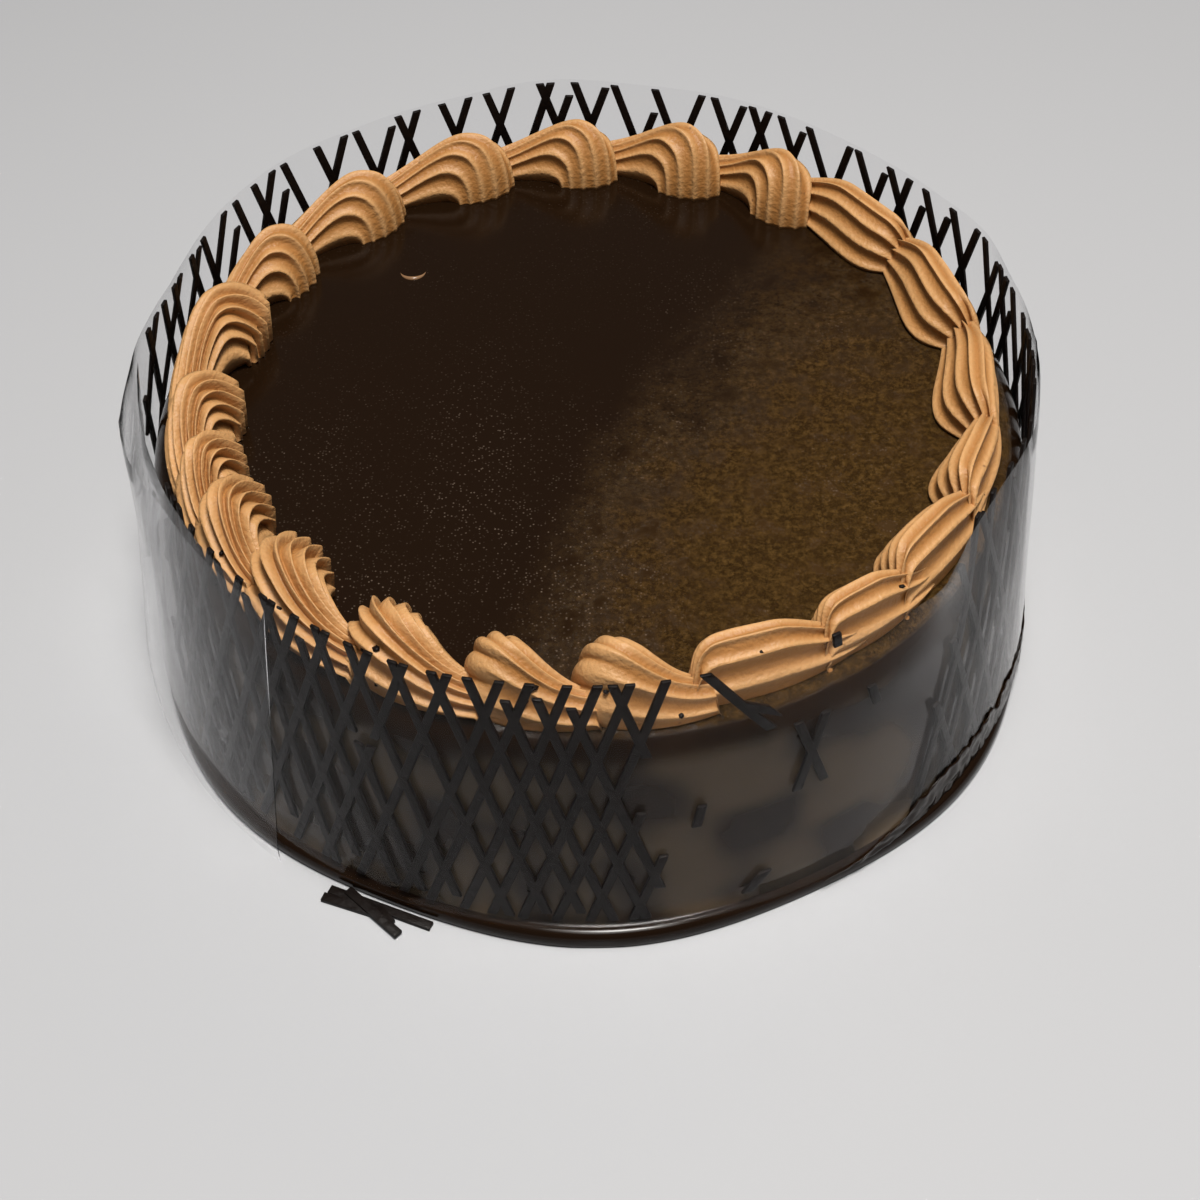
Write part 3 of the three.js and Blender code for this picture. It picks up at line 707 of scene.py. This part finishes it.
chocolate, tree, shader = start_finish("dark_chocolate")
colour = mix(tree, add_noise(tree, 240, 3), chocolate_black, chocolate_bloom)
tree.links.new(colour, shader.inputs["Base Color"])
tree.links.new(add_effect(tree, grain_group, Scale=500, Depth=0.0003), shader.inputs["Normal"])
shader.inputs["Roughness"].default_value = 0.5
shader.inputs["Specular IOR Level"].default_value = 0.12
print("chocolate finish:", chocolate.name)

# %% [markdown]
# The CAD model already holds every strip in its place, so each lattice piece starts as a
# copy of its CAD mesh. That mesh is loose triangles: its points are merged first, and
# pairs of triangles joined. Then the sharp edges get a fine bevel, as melted chocolate
# has no knife edge.

# %% Lattice
lattice_edge = 0.18
lattice_bevel_angle = math.radians(50)
lattice_crisp_angle = math.radians(60)


def soften_lattice(name):
    bm = bmesh.new()
    bm.from_mesh(cad_nodes[name].data)
    bmesh.ops.remove_doubles(bm, verts=bm.verts, dist=1e-6)
    bmesh.ops.join_triangles(bm, faces=bm.faces, angle_face_threshold=0.2, angle_shape_threshold=3.1)
    paired = [edge for edge in bm.edges if len(edge.link_faces) == 2]
    sharp = [edge for edge in paired if edge.calc_face_angle() > lattice_bevel_angle]
    bmesh.ops.bevel(bm, geom=sharp, offset=lattice_edge * MM, offset_type="OFFSET", affect="EDGES",
                    segments=2, profile=0.5, material=-1, clamp_overlap=True)
    piece = make_piece(f"chocolate_{name}", bm, chocolate, "chocolate", name)
    piece.data.set_sharp_from_angle(angle=lattice_crisp_angle)
    return piece


lattice = [soften_lattice(name) for name in sorted(cad_nodes) if name.startswith("lattice_")]
print("lattice pieces:", [(piece.name, len(piece.data.polygons)) for piece in lattice])

# %% [markdown]
# Flakes of broken lattice dropped on the shells, most of them at the front. A flake is too
# small to need an object of its own, so all are balls of a few faces in one mesh. Each is
# flattened, turned and dented by repeatable draws, and laid on the form of its shell.

# %% Flakes on the shells
flake_shells = [11, 12, 12, 13, 13, 13, 14, 14, 15, 15, 16, 17, 19]
flake_ridges, flake_shares = (0.35, 0.9), (0.15, 0.75)
flake_lengths, flake_widths, flake_thickness = (0.6, 1.5), (0.5, 0.9), 0.5
flake_dents = (0.6, 1.3)

bm = bmesh.new()
for number, index in enumerate(flake_shells):
    ridge = blend(*flake_ridges, chance(number, 11))
    share = blend(*flake_shares, chance(number, 12))
    measures = shell_measures(index)
    spot = on_ring(measures, shell_form(measures, ridge, share))
    length = blend(*flake_lengths, chance(number, 13))
    width = blend(*flake_widths, chance(number, 14))
    spin = Matrix.Rotation(math.tau * chance(number, 15), 4, "Z")
    tilt = Matrix.Rotation(chance(number, 16) - 0.5, 4, "X")
    flatten = Matrix.Diagonal((length, width, flake_thickness, 1))
    flake = bmesh.ops.create_icosphere(bm, subdivisions=1, radius=MM,
                                       matrix=Matrix.Translation(spot) @ spin @ tilt @ flatten)
    for step, vert in enumerate(flake["verts"]):
        vert.co = spot.lerp(vert.co, blend(*flake_dents, chance(number * 12 + step, 17)))
flakes = make_piece("chocolate_flakes", bm, chocolate, "chocolate")
print("flakes:", len(flake_shells), "with", len(flakes.data.polygons), "faces")

# %% [markdown]
# The collar is a strip of clear film bent round the cake and lapped at the left. Glass
# without colour shows it: a Principled shader with full transmission bends light little in
# so thin a sheet, and its Fresnel gloss mirrors the room. Real film lets light pass to the
# cake, but a renderer takes glass as solid for shadows, so shadow rays get a clear shader.

# %% Film finish
film_finish, tree, shader = start_finish("clear_film")
shader.inputs["Base Color"].default_value = (0.95, 0.95, 0.955, 1)
shader.inputs["Transmission Weight"].default_value = 1.0
shader.inputs["Roughness"].default_value = 0.03
shader.inputs["IOR"].default_value = 1.10
clear = add_node(tree, "ShaderNodeBsdfTransparent", {"Color": (0.93, 0.93, 0.93, 1)})
path = add_node(tree, "ShaderNodeLightPath")
either = add_node(tree, "ShaderNodeMixShader", {
    0: path.outputs["Is Shadow Ray"], 1: shader.outputs[0], 2: clear.outputs[0]})
tree.links.new(either.outputs[0], tree.nodes["Material Output"].inputs["Surface"])
print("film finish:", film_finish.name)

# %% [markdown]
# The film stands on the bead, leans against the lattice and sways in and out above the
# cake, where nothing holds it. Past a full turn its outer end laps over the start and
# spreads away from the cake. A cone would miss all that, so this function gives the film's
# distance from the axis at any turn and height. Each sway is a soft bulge in or out, with
# its turn, its half width in degrees and its reach. Very shallow wrinkles break the
# reflections.

# %% Collar: how the film bends
film_rim_height, film_foot_height, film_free_height = 76.5, 4.6, 45.0
film_rim_radius, film_foot_radius = 98.3, 104.2
film_free_bend = 1.15
lap_turns, lap_foot_spread, lap_rim_spread = (500, 535), 3.3, 1.2
wrinkle_depth, wrinkle_turn, wrinkle_height, wrinkle_heights = 0.14, 5.5, 24, (8, 20)
film_sways = [(200, 30, -0.9), (249, 14, 0.8), (311, 12, 2.8), (329, 17, -2.2), (382, 10, 1.2),
              (407, 24, -1.7), (455, 15, 2.2), (498, 16, 1.4), (526, 17, -2.4), (556, 15, 2.7)]


def film_radius(turn, height):
    rise = min(max((height - film_foot_height) / (film_rim_height - film_foot_height), 0), 1)
    lap = ease(turn, *lap_turns)
    radius = blend(film_foot_radius + lap_foot_spread * lap, film_rim_radius + lap_rim_spread * lap, rise)
    freedom = max((height - film_free_height) / (film_rim_height - film_free_height), 0) ** film_free_bend
    for sway_turn, half_width, outward in film_sways:
        offset = min(abs(turn - sway_turn) / half_width, 1)
        radius += freedom * outward * (0.5 + 0.5 * math.cos(math.pi * offset))
    wrinkle = wrinkle_depth * wobble(turn / wrinkle_turn, height / wrinkle_height, 2)
    return radius + wrinkle * ease(height, *wrinkle_heights)


film_ends = [film_radius(270, height) for height in (film_foot_height, film_rim_height)]
print("film at the front, foot and rim:", [round(radius, 1) for radius in film_ends], "mm")

# %% [markdown]
# A cylinder could not lap over itself, so the collar is a long grid that is wrapped into
# that shape. Its outer end comes down to the floor. Solidify gives it a thickness, and the
# two edges of the rim are merged, because a flat rim would show as a dark line.

# %% Collar: wrap the film
film_turns = (182, 590)
film_columns, film_rows = 306, 18
film_thickness = 0.2
drop_turns, drop_foot_height = (520, 548), 0.3
rim_band, rim_merge = 0.3, 1.2
film_crisp_angle = math.radians(40)

bm = bmesh.new()
bmesh.ops.create_grid(bm, x_segments=film_columns, y_segments=film_rows, size=0.5)
for vert in bm.verts:
    turn = blend(*film_turns, vert.co.x + 0.5)
    foot = blend(film_foot_height, drop_foot_height, ease(turn, *drop_turns))
    height = blend(foot, film_rim_height, vert.co.y + 0.5)
    vert.co = at(turn, film_radius(turn, height), height)
bm.normal_update()
bmesh.ops.solidify(bm, geom=bm.faces[:], thickness=-film_thickness * MM)
rim = [vert for vert in bm.verts if vert.co.z > (film_rim_height - rim_band) * MM]
bmesh.ops.remove_doubles(bm, verts=rim, dist=rim_merge * film_thickness * MM)
bmesh.ops.recalc_face_normals(bm, faces=bm.faces)
collar = make_piece("film_sheet", bm, film_finish, "film", "film_collar")
collar.data.set_sharp_from_angle(angle=film_crisp_angle)
reach = [radius_of(vert.co) for vert in collar.data.vertices]
print("collar from", round(min(reach), 2), "to", round(max(reach), 2), "mm of the axis")

# %% [markdown]
# At the right some glaze was smeared on the outside of the film, low down. Paint in the
# film's finish would stay flat, so the smear is a strip of a grid with a ragged upper edge,
# laid a hair outside the film. Noise makes it lumpy, and solidify closes it into a crust.

# %% Smear on the film
smear_turns, smear_rise_turns, smear_fall_turns = (298, 354), (300, 318), (330, 352)
smear_columns, smear_rows = 150, 10
smear_foot, smear_top, smear_least = 3.4, 12.5, 0.4
smear_fall = 0.75
smear_level, smear_ragged = 0.85, 0.22
tear_turn, nick_turn, nick_share = 3, 0.9, 0.6
smear_lump, lump_turn, lump_height = 0.35, 1.3, 1.4
smear_crust = 0.25


def smear_height(turn):
    ragged = wobble(turn / tear_turn, 0.3, 8) + nick_share * wobble(turn / nick_turn, 0.3, 9)
    tall = ease(turn, *smear_rise_turns) * (1 - smear_fall * ease(turn, *smear_fall_turns))
    return smear_foot + smear_least + (smear_top - smear_foot) * tall * (smear_level + smear_ragged * ragged)


bm = bmesh.new()
bmesh.ops.create_grid(bm, x_segments=smear_columns, y_segments=smear_rows, size=0.5)
for vert in bm.verts:
    turn = blend(*smear_turns, vert.co.x + 0.5)
    height = blend(smear_foot, smear_height(turn), vert.co.y + 0.5)
    lump = smear_lump + smear_lump * wobble(turn / lump_turn, height / lump_height, 6)
    vert.co = at(turn, film_radius(turn, height) + film_thickness + lump, height)
bm.normal_update()
bmesh.ops.solidify(bm, geom=bm.faces[:], thickness=smear_crust * MM)
bmesh.ops.recalc_face_normals(bm, faces=bm.faces)
smear = make_piece("glaze_smear", bm, glaze, "glaze")
print("smear:", len(smear.data.polygons), "faces")

# %% [markdown]
# The studio is a plain pale floor and a dim even sky, as a photographer's table would be.
# The standard view keeps the colours as they are mixed.

# %% Floor and sky
floor_finish, tree, shader = start_finish("pale_floor")
shader.inputs["Base Color"].default_value = (0.40, 0.405, 0.42, 1)
shader.inputs["Roughness"].default_value = 0.7

bm = bmesh.new()
bmesh.ops.create_grid(bm, x_segments=1, y_segments=1, size=3)
floor_mesh = bpy.data.meshes.new("floor")
bm.to_mesh(floor_mesh)
bm.free()
floor_mesh.materials.append(floor_finish)
floor = bpy.data.objects.new("floor", floor_mesh)
bpy.context.scene.collection.objects.link(floor)

world = bpy.data.worlds.new("studio")
world.use_nodes = True
sky = world.node_tree.nodes["Background"]
sky.inputs["Color"].default_value = (0.9, 0.95, 1.0, 1)
sky.inputs["Strength"].default_value = 0.14
bpy.context.scene.world = world
bpy.context.scene.view_settings.view_transform = "Standard"
print("floor and sky are set")

# %% [markdown]
# Three soft lights hang over the cake: a small strong one nearly overhead that shapes the
# ridges, a wider fill a little in front of it, and a weak warm one behind, placed where the
# front right of the glaze mirrors it. Area lights are used, because their size sets how
# soft the shadows are. Each is turned to face the cake.

# %% Lights
def soft_light(name, place, aim, size, power, colour):
    lamp = bpy.data.lights.new(name, "AREA")
    lamp.size = size
    lamp.energy = power
    lamp.color = colour
    light = bpy.data.objects.new(name, lamp)
    light.location = place
    light.rotation_euler = (Vector(aim) - Vector(place)).to_track_quat("-Z", "Y").to_euler()
    bpy.context.scene.collection.objects.link(light)
    return light


lights = [
    soft_light("key", (0.08, -0.14, 1.10), (0, 0, 0.05), 0.22, 14, (1.0, 0.97, 0.93)),
    soft_light("fill", (0.08, -0.35, 1.10), (0, 0, 0.05), 0.4, 4.5, (1.0, 0.97, 0.93)),
    soft_light("sheen", (0.42, 0.90, 1.05), (0.04, -0.03, 0.05), 0.4, 0.8, (1.0, 0.80, 0.52)),
]
print("lights:", [light.name for light in lights])

# %% [markdown]
# The camera looks down on the cake from the front at about 48 degrees. Its three
# directions are kept as they were fitted to the picture: to the right, up, and forward.
# They make up the turn of its matrix, which is surer than angles worked out by hand.

# %% Camera
right = Vector((0.99987, -0.01444, -0.00770))
up = Vector((0.01588, 0.74245, 0.66972))
forward = Vector((0.00396, 0.66975, -0.74258))
eye = axis + Vector((0.06, -357.9, 389.7)) * MM

lens = bpy.data.cameras.new("camera")
lens.sensor_fit = "HORIZONTAL"
lens.sensor_width = 36
lens.lens = 64.66
lens.clip_start = 0.01
camera = bpy.data.objects.new("camera", lens)
camera.matrix_world = Matrix.Translation(eye) @ Matrix((right, up, -forward)).transposed().to_4x4()
bpy.context.scene.collection.objects.link(camera)
bpy.context.scene.camera = camera
print("camera at", tuple(round(v, 3) for v in eye))
